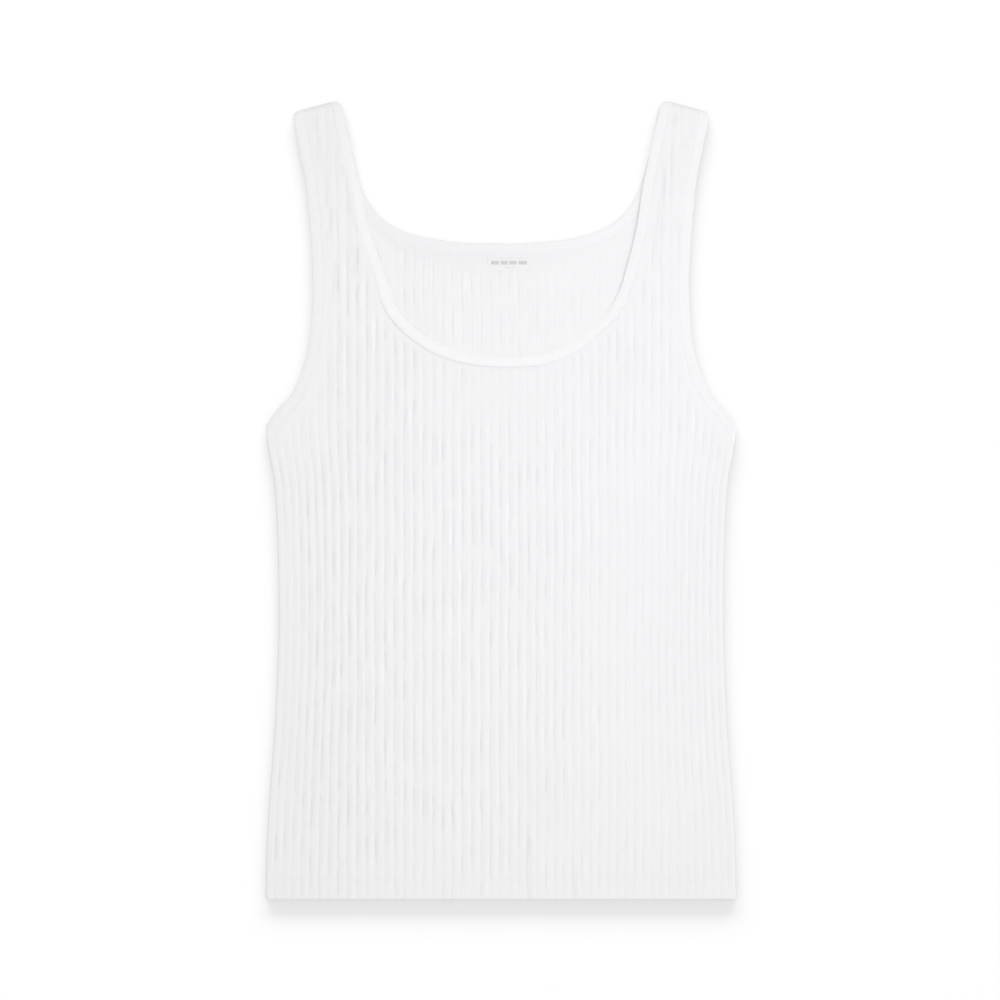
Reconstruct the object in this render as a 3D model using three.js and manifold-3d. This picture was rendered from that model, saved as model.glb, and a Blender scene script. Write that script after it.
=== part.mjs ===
// A sleeveless scoop-neck tank top in rib knit, lying flat on its back with its front panel uppermost.
// Units are millimetres. X runs across the garment, Y from the hem to the straps, and Z up from the surface.
// The origin is on the surface, under the middle of the garment's width and length.
// Heights in the tables start at the hem's edge, and half widths at the centre line.

import * as THREE from "three";
import { mergeVertices } from "three/addons/utils/BufferGeometryUtils.js";
import Module from "manifold-3d";

const wasm = await Module();
wasm.setup();

// Driving dimensions
const LENGTH = 622.4; // hem to the highest point of a strap
const RIBS = 52; // ribs across one panel
const GROOVE_WALL = 1.2; // cloth thickness in the groove between two ribs
const RIB_RISE = 0.8; // a rib's height above its grooves
const RIB_DRIFT = 0.07; // ribs on the left lie this much wider apart, and on the right closer
const SEAM_GAP = 0.3; // between two pieces that are sewn together
const BINDING_WIDTH = 9; // finished width of the neck and armhole bindings
const SHOULDER_SLOPE = 0.264; // fall of the shoulder line away from the neck
const SHOULDER_PEAK = 129.4; // half width at which the shoulder line is LENGTH high
const NECK_CORNER = 8; // radius of a strap's top corner on the neck side
const ARM_CORNER = 5; // radius of a strap's top corner on the arm side
const LABEL = { width: 36, height: 11, thickness: 0.6, corner: 1.2, x: 7, bottom: 489 };

// Layers, from the surface up
const WALL = GROOVE_WALL + RIB_RISE;
const FRONT_FLOOR = WALL + SEAM_GAP;
const FRONT_CREST = FRONT_FLOOR + WALL;
const RIM_WALL = 0.7; // wall left at a rounded edge
const BACK_MIDDLE = WALL / 2;
const FRONT_MIDDLE = FRONT_FLOOR + WALL / 2;
const FOLD_MIDDLE = (BACK_MIDDLE + FRONT_MIDDLE) / 2;
const FOLD_RADIUS = (FRONT_MIDDLE - BACK_MIDDLE) / 2;
const FOLD_REACH = FOLD_RADIUS + WALL / 2;

// Half the width of the ribbed cloth: the side seam up to the underarm, then the cloth before it is cut
const CLOTH_WIDTHS = [
  { height: 0, half: 183.5 },
  { height: 54, half: 182 },
  { height: 140, half: 176 },
  { height: 224, half: 173.2 },
  { height: 321, half: 176.3 },
  { height: 367.4, half: 183.7 },
  { height: 480, half: 184 },
  { height: LENGTH, half: 201 },
];

// Finished edge of the right armhole, from past the shoulder line to past the side seam
const ARMHOLE_EDGE = [
  { x: 166, height: 634 },
  { x: 160.6, height: 602 },
  { x: 158, height: 588 },
  { x: 152.9, height: 563.2 },
  { x: 148.8, height: 526.5 },
  { x: 146.6, height: 475 },
  { x: 148.2, height: 443.8 },
  { x: 153.7, height: 415.7 },
  { x: 164, height: 393.1 },
  { x: 176, height: 379.5 },
  { x: 183.7, height: 367.4 },
  { x: 192, height: 353 },
];

// Inner edge of a strap, shared by the front and back neck edges, from where they part to past the shoulder line
const STRAP_EDGE = [
  { x: 114.7, height: 576.4 },
  { x: 119.3, height: 596.7 },
  { x: 122.5, height: 612 },
  { x: 126, height: 632 },
];

// Finished front neck edge, from the left strap to the right one. It lies a little unevenly.
const FRONT_NECK_EDGE = [
  ...mirroredRows(STRAP_EDGE),
  { x: -109.5, height: 553.8 },
  { x: -103.6, height: 524.3 },
  { x: -96, height: 503 },
  { x: -89.5, height: 484 },
  { x: -83.5, height: 465 },
  { x: -70.3, height: 448.8 },
  { x: -47, height: 433 },
  { x: -20, height: 425.6 },
  { x: 12, height: 424 },
  { x: 36, height: 427 },
  { x: 56, height: 436.5 },
  { x: 72, height: 448 },
  { x: 84.5, height: 460.5 },
  { x: 93.5, height: 478 },
  { x: 100.6, height: 502 },
  { x: 106, height: 526 },
  { x: 110.2, height: 553.8 },
  ...STRAP_EDGE,
];

// Right half of the finished back neck edge, from past the centre to past the shoulder line
const BACK_NECK_HALF = [
  { x: 27, height: 512 },
  { x: 50, height: 514.2 },
  { x: 75, height: 520.8 },
  { x: 91, height: 529.8 },
  { x: 101, height: 541 },
  { x: 108.6, height: 555.5 },
  ...STRAP_EDGE,
];
const BACK_NECK_EDGE = [...mirroredRows(BACK_NECK_HALF), { x: 0, height: 511.3 }, ...BACK_NECK_HALF];

// Rows of the front panel. lift raises the outer face: a rounded hem edge, the turned hem, its stitch line, the
// shoulder. tilt is the share of the shoulder's slope that the row follows.
const FRONT_ROWS = [
  { height: 0, lift: RIM_WALL - WALL, tilt: 0 },
  { height: 1.5, lift: 0.3, tilt: 0 },
  { height: 13, lift: 0.3, tilt: 0 },
  { height: 14.5, lift: -0.35, tilt: 0 },
  { height: 16, lift: 0, tilt: 0 },
  ...[90, 160, 224, 300, 345, 367.4, 430, 500, 550].map((height) => ({ height, lift: 0, tilt: 0 })),
  { height: 580, lift: 0, tilt: 0.5 },
  { height: 602, lift: 0, tilt: 1 },
  { height: LENGTH - 4, lift: 0, tilt: 1 },
  { height: LENGTH - 1.5, lift: -0.6, tilt: 1 },
  { height: LENGTH - SEAM_GAP, lift: RIM_WALL - WALL, tilt: 1 },
];

// Rows of the back panel's inner face where it shows through the neck opening, a stretch this wide
const WINDOW_ROWS = [398, 450, 500, 550].map((height) => ({ height, lift: 0, tilt: 0 }));
const WINDOW_HALF = 116;
const WINDOW_SINK = 0.05; // the ribs there stand this much lower than the plain cloth round them

// One rib across its pitch: groove, flank, crest, flank
const RIB_PROFILE = [
  { across: 0.14, rise: 0 },
  { across: 0.3, rise: 1 },
  { across: 0.7, rise: 1 },
  { across: 0.86, rise: 0 },
];

// A binding's section. across runs from the seam to the finished edge, and out from the inner face to the outer.
const BINDING_SECTION = [
  { across: 0, out: -1 },
  { across: 0.94, out: -1 },
  { across: 1, out: -0.5 },
  { across: 1, out: 0.3 },
  { across: 0.95, out: 0.85 },
  { across: 0.86, out: 1 },
  { across: 0.07, out: 1 },
  { across: 0, out: 0.6 },
];

// Steps along the curves
const EDGE_SAMPLES = 160;
const NECK_STEPS = { front: 72, back: 56 };
const ARMHOLE_STEPS = 40;
const FOLD_STEPS = 5;
const SIDE_STEPS = 14;
const BEYOND = 30; // how far a cutting outline runs past the cloth

// A smooth function through a table, read from one named column to another.
function smoothColumn(table, from, to) {
  const slope = (i) => {
    const before = table[Math.max(i - 1, 0)];
    const after = table[Math.min(i + 1, table.length - 1)];
    return (after[to] - before[to]) / (after[from] - before[from]);
  };
  return (at) => {
    const above = table.findIndex((row) => row[from] > at);
    const i = above < 0 ? table.length - 2 : Math.max(above - 1, 0);
    const span = table[i + 1][from] - table[i][from];
    const t = (at - table[i][from]) / span;
    const start = table[i][to] * (2 * t ** 3 - 3 * t ** 2 + 1) + span * slope(i) * (t ** 3 - 2 * t ** 2 + t);
    const end = table[i + 1][to] * (3 * t ** 2 - 2 * t ** 3) + span * slope(i + 1) * (t ** 3 - t ** 2);
    return start + end;
  };
}

const clothHalf = smoothColumn(CLOTH_WIDTHS, "height", "half");
const shoulderHeight = (x) => LENGTH - SHOULDER_SLOPE * (Math.abs(x) - SHOULDER_PEAK);
const mirrored = (points) => points.map((p) => new THREE.Vector2(-p.x, p.y)).reverse();

// The rows of a table on the other side of the centre line, in the opposite order.
function mirroredRows(rows) {
  return rows.map((row) => ({ ...row, x: -row.x })).reverse();
}

// Points along a smooth curve through a table of x and height.
function curvePoints(table) {
  const curve = new THREE.CatmullRomCurve3(table.map((row) => new THREE.Vector3(row.x, row.height, 0)));
  return curve.getSpacedPoints(EDGE_SAMPLES).map((p) => new THREE.Vector2(p.x, p.y));
}

// The same line moved sideways by a distance, to the right of its direction.
function movedRight(points, distance) {
  return points.map((p, i) => {
    const before = points[Math.max(i - 1, 0)];
    const after = points[Math.min(i + 1, points.length - 1)];
    const along = after.clone().sub(before).normalize();
    return new THREE.Vector2(p.x + along.y * distance, p.y - along.x * distance);
  });
}

// The stretch of a line inside a limit, cut exactly where a signed distance to the limit falls to zero.
function trimmed(points, inside) {
  const kept = [];
  points.forEach((p, i) => {
    const here = inside(p);
    const next = points[i + 1];
    if (here >= 0) kept.push(p);
    if (next && here >= 0 !== inside(next) >= 0) kept.push(p.clone().lerp(next, here / (here - inside(next))));
  });
  return kept;
}

// The same line in a number of equal steps.
function evenly(points, steps) {
  const path = new THREE.CurvePath();
  points.slice(1).forEach((p, i) => path.add(new THREE.LineCurve(points[i], p)));
  return path.getSpacedPoints(steps);
}

// How far a point lies inside the shoulder line, and inside the side seam, less what the fold there takes
const underShoulder = (p) => shoulderHeight(p.x) - FOLD_REACH - p.y;
const insideSide = (p) => clothHalf(p.y) - FOLD_REACH - Math.abs(p.x);

// Finished edges and the seam lines inside them. Each runs with the cloth on its right.
const SEAM_INSET = BINDING_WIDTH + SEAM_GAP;
const armholeEdge = curvePoints(ARMHOLE_EDGE);
const armholeSeam = movedRight(armholeEdge, SEAM_INSET);
const frontNeckEdge = curvePoints(FRONT_NECK_EDGE);
const frontNeckSeam = movedRight(frontNeckEdge, SEAM_INSET);
const backNeckEdge = curvePoints(BACK_NECK_EDGE);
const backNeckSeam = movedRight(backNeckEdge, SEAM_INSET);

// Across the cloth: the two rims, and between them the corners of every rib
const COLUMNS = [{ share: -1, rise: 0, rim: true }];
for (let rib = 0; rib < RIBS; rib++) {
  for (const { across, rise } of RIB_PROFILE) {
    COLUMNS.push({ share: (2 * (rib + across)) / RIBS - 1, rise, rim: false });
  }
}
COLUMNS.push({ share: 1, rise: 0, rim: true });

// A closed slab between a ribbed face, with a point for each row and column, and a plain face at a level.
// ribHeight gives the ribbed face's height. The ribbed face looks up, or down where it lies under the plain one.
function ribbedSlab(rows, columns, level, ribHeight, looksUp) {
  const ribbed = [];
  for (const row of rows) {
    for (const column of columns) {
      const x = clothHalf(row.height) * (column.share + RIB_DRIFT * (1 - column.share ** 2));
      const y = row.height - row.tilt * SHOULDER_SLOPE * (Math.abs(x) - SHOULDER_PEAK);
      ribbed.push(new THREE.Vector3(x, y, ribHeight(row, column)));
    }
  }
  const across = columns.length;
  const faces = [];
  for (let r = 0; r + 1 < rows.length; r++) {
    for (let c = 0; c + 1 < across; c++) {
      const here = r * across + c;
      const beyond = here + across;
      faces.push([here, here + 1, beyond + 1], [here, beyond + 1, beyond]);
    }
  }
  const rim = rimOf(rows.length, across);
  const plain = rim.map((i) => new THREE.Vector3(ribbed[i].x, ribbed[i].y, level));
  const first = ribbed.length;
  rim.forEach((here, i) => {
    const next = (i + 1) % rim.length;
    faces.push([here, first + i, first + next], [here, first + next, rim[next]]);
  });
  for (const [a, b, c] of THREE.ShapeUtils.triangulateShape(plain, [])) faces.push([first + c, first + b, first + a]);
  const geometry = new THREE.BufferGeometry().setFromPoints([...ribbed, ...plain]);
  geometry.setIndex(faces.flatMap(([a, b, c]) => (looksUp ? [a, b, c] : [a, c, b])));
  return geometry;
}

// The points round the rim of a grid, anticlockwise from its first point
function rimOf(rows, across) {
  const rim = [];
  for (let c = 0; c + 1 < across; c++) rim.push(c);
  for (let r = 0; r + 1 < rows; r++) rim.push(r * across + across - 1);
  for (let c = across - 1; c > 0; c--) rim.push((rows - 1) * across + c);
  for (let r = rows - 1; r > 0; r--) rim.push(r * across);
  return rim;
}

// An upright block whose outline is the cloth between the armhole seams, under a neck seam.
function cuttingBlock(neckSeam) {
  const top = LENGTH + BEYOND;
  const side = CLOTH_WIDTHS[0].half + BEYOND;
  const rightArm = [...armholeSeam].reverse();
  const leftArm = mirrored(rightArm);
  const outline = [
    new THREE.Vector2(-side, -BEYOND),
    new THREE.Vector2(side, -BEYOND),
    new THREE.Vector2(side, rightArm[0].y),
    ...rightArm,
    new THREE.Vector2(rightArm.at(-1).x, top),
    new THREE.Vector2(neckSeam.at(-1).x, top),
    ...[...neckSeam].reverse(),
    new THREE.Vector2(neckSeam[0].x, top),
    new THREE.Vector2(leftArm[0].x, top),
    ...leftArm,
    new THREE.Vector2(-side, leftArm.at(-1).y),
  ];
  const block = new THREE.ExtrudeGeometry(new THREE.Shape(outline), {
    depth: FRONT_CREST + 2 * BEYOND,
    bevelEnabled: false,
  });
  return block.translate(0, 0, -BEYOND);
}

function solidOf(geometry) {
  const bare = geometry.clone();
  bare.deleteAttribute("normal");
  bare.deleteAttribute("uv");
  const merged = mergeVertices(bare);
  return new wasm.Manifold(
    new wasm.Mesh({
      numProp: 3,
      vertProperties: new Float32Array(merged.attributes.position.array),
      triVerts: new Uint32Array(merged.index.array),
    }),
  );
}

function geometryOf(solid) {
  const { vertProperties, triVerts } = solid.getMesh();
  const geometry = new THREE.BufferGeometry();
  geometry.setAttribute("position", new THREE.BufferAttribute(vertProperties, 3));
  geometry.setIndex(new THREE.BufferAttribute(triVerts, 1));
  geometry.computeVertexNormals();
  return geometry;
}

// Front panel: ribs on the outer face, a plain inner face, a rounded rim at the side seams
function frontPanel() {
  const outerFace = (row, column) => {
    const wall = column.rim ? RIM_WALL : GROOVE_WALL + column.rise * RIB_RISE + row.lift;
    return FRONT_FLOOR + Math.max(wall, RIM_WALL);
  };
  const cloth = ribbedSlab(FRONT_ROWS, COLUMNS, FRONT_FLOOR, outerFace, true);
  return geometryOf(solidOf(cloth).intersect(solidOf(cuttingBlock(frontNeckSeam))));
}

// Outline of the cloth: hem, side seams and shoulder lines
function clothOutline() {
  const top = LENGTH - SEAM_GAP;
  const shoulder = top - SHOULDER_SLOPE * (clothHalf(top) - SHOULDER_PEAK);
  const side = Array.from({ length: SIDE_STEPS + 1 }, (_, i) => {
    const height = (shoulder * i) / SIDE_STEPS;
    return new THREE.Vector2(clothHalf(height), height);
  });
  return [...side, new THREE.Vector2(0, top + SHOULDER_SLOPE * SHOULDER_PEAK), ...mirrored(side)];
}

// Back panel: plain where it lies on the surface, with ribs on its inner face where the neck opening shows them
function backPanel() {
  const cloth = new THREE.ExtrudeGeometry(new THREE.Shape(clothOutline()), { depth: WALL, bevelEnabled: false });
  const shown = COLUMNS.filter((column) => Math.abs(column.share) * clothHalf(WINDOW_ROWS[0].height) < WINDOW_HALF);
  const innerFace = (row, column) => GROOVE_WALL + column.rise * (RIB_RISE - WINDOW_SINK);
  const above = ribbedSlab(WINDOW_ROWS, shown, WALL + BEYOND, innerFace, false);
  const panel = solidOf(cloth).intersect(solidOf(cuttingBlock(backNeckSeam)));
  return geometryOf(panel.subtract(solidOf(above)));
}

// How far a rounded corner draws an edge in, at a distance from the line that the corner meets
function cornerInset(radius, distance) {
  const left = Math.max(radius - Math.max(distance, 0), 0);
  return radius - Math.sqrt(radius ** 2 - left ** 2);
}

// One station of a binding: a point on its finished edge, one on its seam, and the way its outer face looks
function station(edge, seam, z, out, radius) {
  const inset = cornerInset(radius, shoulderHeight(edge.x) - edge.y);
  const drawn = edge.clone().add(seam.clone().sub(edge).setLength(inset));
  return {
    edge: new THREE.Vector3(drawn.x, drawn.y, z),
    seam: new THREE.Vector3(seam.x, seam.y, z),
    out,
  };
}

// Stations along one layer, from pairs of lines that both start and end where the binding folds over
function layerStations(edgeLine, seamLine, steps, isFront, radius) {
  const z = isFront ? FRONT_MIDDLE : BACK_MIDDLE;
  const out = new THREE.Vector3(0, 0, isFront ? 1 : -1);
  const edges = evenly(edgeLine, steps);
  const seams = evenly(seamLine, steps);
  return edges.map((edge, i) => station(edge, seams[i], z, out, radius));
}

// Stations round a fold, between the last station of one layer and the first of the other
function foldStations(edge, seam, away, fromFront, radius) {
  return Array.from({ length: FOLD_STEPS - 1 }, (_, i) => {
    const turned = (Math.PI * (i + 1)) / FOLD_STEPS;
    const angle = fromFront ? turned : Math.PI - turned;
    const reach = away.clone().multiplyScalar(FOLD_RADIUS * Math.sin(angle));
    const z = FOLD_MIDDLE + FOLD_RADIUS * Math.cos(angle);
    const out = new THREE.Vector3(away.x * Math.sin(angle), away.y * Math.sin(angle), Math.cos(angle));
    return station(edge.clone().add(reach), seam.clone().add(reach), z, out, radius);
  });
}

// A closed ring of binding through its stations
function bindingRing(stations) {
  const positions = [];
  for (const { edge, seam, out } of stations) {
    const width = edge.clone().sub(seam);
    width.multiplyScalar(1 - SEAM_GAP / width.length());
    for (const corner of BINDING_SECTION) {
      const p = edge.clone().addScaledVector(width, corner.across - 1);
      p.addScaledVector(out, (corner.out * WALL) / 2);
      positions.push(p.x, p.y, p.z);
    }
  }
  const around = BINDING_SECTION.length;
  const index = [];
  for (let i = 0; i < stations.length; i++) {
    const here = i * around;
    const next = ((i + 1) % stations.length) * around;
    for (let j = 0; j < around; j++) {
      const k = (j + 1) % around;
      index.push(here + j, here + k, next + k, here + j, next + k, next + j);
    }
  }
  const geometry = new THREE.BufferGeometry();
  geometry.setAttribute("position", new THREE.Float32BufferAttribute(positions, 3));
  geometry.setIndex(index);
  return geometry;
}

// The way out of the cloth over a shoulder, on the right or the left
const overShoulder = (side) => new THREE.Vector2(side * SHOULDER_SLOPE, 1).normalize();

// Neck binding: along the front edge, over the right shoulder, along the back edge and over the left shoulder
function neckBinding() {
  const frontEdge = trimmed(frontNeckEdge, underShoulder);
  const frontSeam = trimmed(frontNeckSeam, underShoulder);
  const backEdge = trimmed(backNeckEdge, underShoulder).reverse();
  const backSeam = trimmed(backNeckSeam, underShoulder).reverse();
  return bindingRing([
    ...layerStations(frontEdge, frontSeam, NECK_STEPS.front, true, NECK_CORNER),
    ...foldStations(frontEdge.at(-1), frontSeam.at(-1), overShoulder(1), true, NECK_CORNER),
    ...layerStations(backEdge, backSeam, NECK_STEPS.back, false, NECK_CORNER),
    ...foldStations(backEdge.at(-1), backSeam.at(-1), overShoulder(-1), false, NECK_CORNER),
  ]);
}

// Right armhole binding: down the front, round the side seam, up the back and over the shoulder
function armholeBinding() {
  const inside = (p) => Math.min(underShoulder(p), insideSide(p));
  const edge = trimmed(armholeEdge, inside);
  const seam = trimmed(armholeSeam, inside);
  const edgeUp = [...edge].reverse();
  const seamUp = [...seam].reverse();
  const outward = new THREE.Vector2(1, 0);
  return bindingRing([
    ...layerStations(edge, seam, ARMHOLE_STEPS, true, ARM_CORNER),
    ...foldStations(edge.at(-1), seam.at(-1), outward, true, ARM_CORNER),
    ...layerStations(edgeUp, seamUp, ARMHOLE_STEPS, false, ARM_CORNER),
    ...foldStations(edge[0], seam[0], overShoulder(1), false, ARM_CORNER),
  ]);
}

// Neck label: a plain woven rectangle on the ribs inside the back neck
function neckLabel() {
  const { width, height, thickness, corner, x, bottom } = LABEL;
  const shape = new THREE.Shape();
  const right = x + width / 2;
  const left = x - width / 2;
  const top = bottom + height;
  shape.moveTo(left + corner, bottom);
  shape.lineTo(right - corner, bottom);
  shape.absarc(right - corner, bottom + corner, corner, -Math.PI / 2, 0);
  shape.absarc(right - corner, top - corner, corner, 0, Math.PI / 2);
  shape.absarc(left + corner, top - corner, corner, Math.PI / 2, Math.PI);
  shape.absarc(left + corner, bottom + corner, corner, Math.PI, 1.5 * Math.PI);
  const plate = new THREE.ExtrudeGeometry(shape, { depth: thickness, bevelEnabled: false, curveSegments: 3 });
  return plate.translate(0, 0, WALL + SEAM_GAP);
}

// The same geometry on the other side of the centre line, still facing outwards
function mirroredGeometry(geometry) {
  const other = geometry.clone().scale(-1, 1, 1);
  const { array } = other.index;
  for (let i = 0; i < array.length; i += 3) [array[i + 1], array[i + 2]] = [array[i + 2], array[i + 1]];
  return other;
}

const ribKnit = new THREE.MeshStandardMaterial({ color: 0xf1f1f3, roughness: 0.85, metalness: 0 });
const bindingKnit = new THREE.MeshStandardMaterial({ color: 0xf3f3f4, roughness: 0.8, metalness: 0 });
const labelWeave = new THREE.MeshStandardMaterial({ color: 0xf6f6f4, roughness: 0.5, metalness: 0 });

function piece(name, geometry, material) {
  const mesh = new THREE.Mesh(geometry, material);
  mesh.name = name;
  return mesh;
}

const rightArmhole = armholeBinding();
const tankTop = new THREE.Group();
tankTop.add(
  piece("front_panel", frontPanel(), ribKnit),
  piece("back_panel", backPanel(), ribKnit),
  piece("neck_binding", neckBinding(), bindingKnit),
  piece("armhole_binding_right", rightArmhole, bindingKnit),
  piece("armhole_binding_left", mirroredGeometry(rightArmhole), bindingKnit),
  piece("neck_label", neckLabel(), labelWeave),
);
tankTop.position.y = -LENGTH / 2;

export default tankTop;
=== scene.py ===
"""A white ribbed tank top laid flat, seen from straight above on a pale floor.

Tables are in millimetres: x across the garment, height up from the hem's edge, z up from the surface.
"""

import math
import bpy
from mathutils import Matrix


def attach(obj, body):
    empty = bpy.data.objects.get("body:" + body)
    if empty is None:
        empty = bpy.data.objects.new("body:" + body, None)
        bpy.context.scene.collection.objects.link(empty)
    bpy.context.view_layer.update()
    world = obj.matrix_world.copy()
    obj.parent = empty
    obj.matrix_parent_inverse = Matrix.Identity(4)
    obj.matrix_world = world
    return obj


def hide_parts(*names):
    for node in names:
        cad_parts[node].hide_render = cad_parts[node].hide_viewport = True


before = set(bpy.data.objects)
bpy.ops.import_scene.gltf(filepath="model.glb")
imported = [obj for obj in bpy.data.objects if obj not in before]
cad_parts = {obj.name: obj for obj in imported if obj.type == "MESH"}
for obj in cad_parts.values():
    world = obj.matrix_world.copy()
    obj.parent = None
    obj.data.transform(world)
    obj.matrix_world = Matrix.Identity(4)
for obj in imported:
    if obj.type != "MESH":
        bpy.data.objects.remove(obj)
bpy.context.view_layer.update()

from types import SimpleNamespace

import bmesh
import bpy
import numpy as np
from mathutils import Matrix, Vector

MM = 0.001

# Sizes shared with the solids
LENGTH = 622.4
RIBS = 52
SEAM_GAP = 0.3
BINDING_WIDTH = 9.0
WALL = 2.0
SHOULDER_SLOPE = 0.264
SHOULDER_PEAK = 129.4
NECK_CORNER = 8.0
ARM_CORNER = 5.0
FRONT_FLOOR = WALL + SEAM_GAP
FRONT_CREST = FRONT_FLOOR + WALL
FOLD_MIDDLE = 2.15
FOLD_RADIUS = 1.15
FOLD_REACH = 2.15
LABEL = {"width": 36.0, "height": 11.0, "x": 7.0, "bottom": 489.0, "thickness": 0.08}

CLOTH_WIDTHS = [
    (0, 183.5), (54, 182), (140, 176), (224, 173.2), (321, 176.3), (367.4, 183.7), (480, 184),
    (LENGTH, 188),
]
ARMHOLE_EDGE = [
    (166, 634), (160.6, 602), (158, 588), (152.9, 563.2), (148.8, 526.5), (146.6, 475), (148.2, 443.8),
    (153.7, 415.7), (164, 393.1), (176, 379.5), (183.7, 367.4), (192, 353),
]
STRAP_EDGE = [(114.7, 576.4), (119.3, 596.7), (122.5, 612), (126, 632)]
FRONT_NECK_EDGE = [
    *[(-x, h) for x, h in reversed(STRAP_EDGE)], (-109.5, 553.8), (-103.6, 524.3), (-96, 503),
    (-89.5, 484), (-83.5, 465), (-70.3, 448.8), (-47, 433), (-20, 425.6), (12, 424), (36, 427),
    (56, 436.5), (72, 448), (84.5, 460.5), (93.5, 478), (100.6, 502), (106, 526), (110.2, 553.8),
    *STRAP_EDGE,
]
BACK_NECK_HALF = [
    (27, 512), (50, 514.2), (75, 520.8), (91, 529.8), (101, 541), (108.6, 555.5), *STRAP_EDGE,
]
BACK_NECK_EDGE = [*[(-x, h) for x, h in reversed(BACK_NECK_HALF)], (0, 511.3), *BACK_NECK_HALF]

# How the cloth is meshed
COLUMNS_PER_RIB = 8
ROW_STEP = 6.2
EDGE_SAMPLES = 320
UNDER_BAND = 2.8  # how far a panel runs on under its binding
WALES_PER_RIB = 6
COURSE = 0.92  # height of one row of knitting

# How wide apart the ribs lie across a panel, from -1 at the left side to 1 at the right: place, pitch
RIB_PITCHES = [
    (-1.0, 7.9), (-0.8, 8.7), (-0.6, 9.2), (-0.4, 9.5), (-0.2, 9.5), (0.0, 9.15), (0.2, 8.8),
    (0.4, 8.75), (0.6, 8.5), (0.8, 8.1), (1.0, 7.4),
]

# The turned hem
HEM_FOLD = 1.15  # radius of the fold at the hem's edge
HEM_STITCHES = (12.6, 16.6)  # heights of the two rows of stitching
HEM_TURN = 19.0  # height to which the hem is turned up inside

# Places where the ribs lie flatter: x, height, half width, half height, share of their relief that is lost
FLAT_SPOTS = [
    (3, 392, 62, 30, 0.72), (112, 300, 34, 70, 0.45), (104, 205, 46, 95, 0.4), (118, 70, 52, 60, 0.42),
    (60, 60, 30, 24, 0.35), (-160, 390, 28, 36, 0.95), (-135, 572, 26, 56, 0.55),
    (138, 572, 26, 50, 0.4), (-166, 200, 13, 180, 0.65), (-58, 34, 22, 12, 0.6), (44, 36, 24, 12, 0.45),
    (150, 440, 10, 40, 0.3),
]

# Soft creases of the front, from point to point: x, height, x, height, half width, rise (trough below 0)
FRONT_CREASES = [
    (-150, 360, -96, 330, 9, 0.55), (-158, 338, -104, 300, 11, -0.35), (-84, 150, -70, 66, 10, -0.5),
    (-66, 120, -52, 44, 8, 0.45), (-72, 36, -40, 32, 9, -0.5), (-20, 60, 14, 48, 10, 0.35),
    (30, 40, 62, 30, 8, -0.45), (60, 150, 96, 92, 12, 0.4), (96, 330, 122, 220, 14, 0.5),
    (76, 300, 92, 190, 10, -0.35), (128, 390, 164, 350, 8, 0.5), (120, 372, 150, 334, 9, -0.4),
    (-40, 404, 20, 398, 10, 0.4), (21.5, 52, 22, -14, 1.5, -0.6), (57, 30, 57, -12, 1.5, -0.5),
    (-146.5, 613, -146.6, 599, 2.2, -0.4), (-131, 617, -127, 601, 1.7, -0.5),
    (-127.5, 599, -124.5, 581, 1.6, -0.5), (-142, 594, -140.5, 571, 1.8, -0.4),
    (-122.4, 574, -121, 556, 1.5, -0.45), (-136.3, 569, -137, 540, 1.6, -0.45),
    (-120, 555, -118.4, 537, 1.5, -0.45), (-132.6, 539, -133.6, 512, 1.6, -0.5),
    (-128, 545, -127, 516, 1.6, 0.35), (-115.6, 543, -112.8, 518, 1.5, -0.5),
    (-113, 508, -115.6, 485, 1.6, -0.5), (-121, 505, -122, 470, 1.8, 0.4),
    (-130, 500, -131, 460, 1.8, -0.4), (136, 612, 136.4, 602, 1.7, -0.5),
    (149.2, 602, 149.6, 592, 1.6, -0.4), (142.6, 592, 143.4, 582, 2.0, -0.35),
    (126.6, 574, 126.2, 544, 1.5, -0.45), (129.6, 570, 129.2, 535, 1.4, 0.35),
    (132.9, 588, 132.6, 541, 1.4, -0.4), (122.6, 544, 122.2, 492, 1.4, -0.5),
    (119.6, 525, 119.2, 495, 1.4, 0.4), (138.6, 532, 138.2, 496, 1.6, -0.4),
]
# Soft creases of the back, seen in the neck opening and from behind: they lift the cloth off the surface
BACK_CREASES = [
    (-70, 500, -30, 470, 10, 0.5), (-20, 506, 4, 452, 9, 0.4), (30, 500, 74, 478, 9, 0.5),
    (18, 470, 60, 446, 10, 0.4), (-120, 300, -60, 240, 14, 0.45), (60, 330, 130, 280, 12, 0.4),
    (-30, 180, 40, 150, 16, 0.4), (90, 120, 140, 60, 12, 0.4), (-140, 110, -100, 40, 12, 0.35),
    (-20, 380, 50, 360, 12, 0.35),
]

MEAN_HALF = 180.0  # half width for which the pitches of the ribs are given
NARROW = 3.0  # half width below which a crease shows a dark fold
UPRIGHT = 105.0  # half width of the middle part, where the ribs run straight up
SIDES_SOFT = 2.5  # width of the rounded side edge
SIDE_ROLL = 0.6  # how far the front sinks at a side
SEAM_DIP = 1.1  # depth of the deepest groove at a seam
SEAM_DROP = 0.9  # how far the front sinks under a binding
MOST_BEND = 55.0  # how far at most the rows bend along the neck seam
FOLD_SQUARENESS = 0.6  # 1 gives the hem a round fold, and less a squarer one
THIN_WALL = 0.44  # the cloth's thickness in a groove, as a share of the wall
FULL_WALL = 0.92  # the same under a crest
FRONT_ARMHOLE_ROWS = (322, 374, 22)  # first height, last height and number of the finer rows
BACK_ARMHOLE_ROWS = (372, 412, 12)
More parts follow.
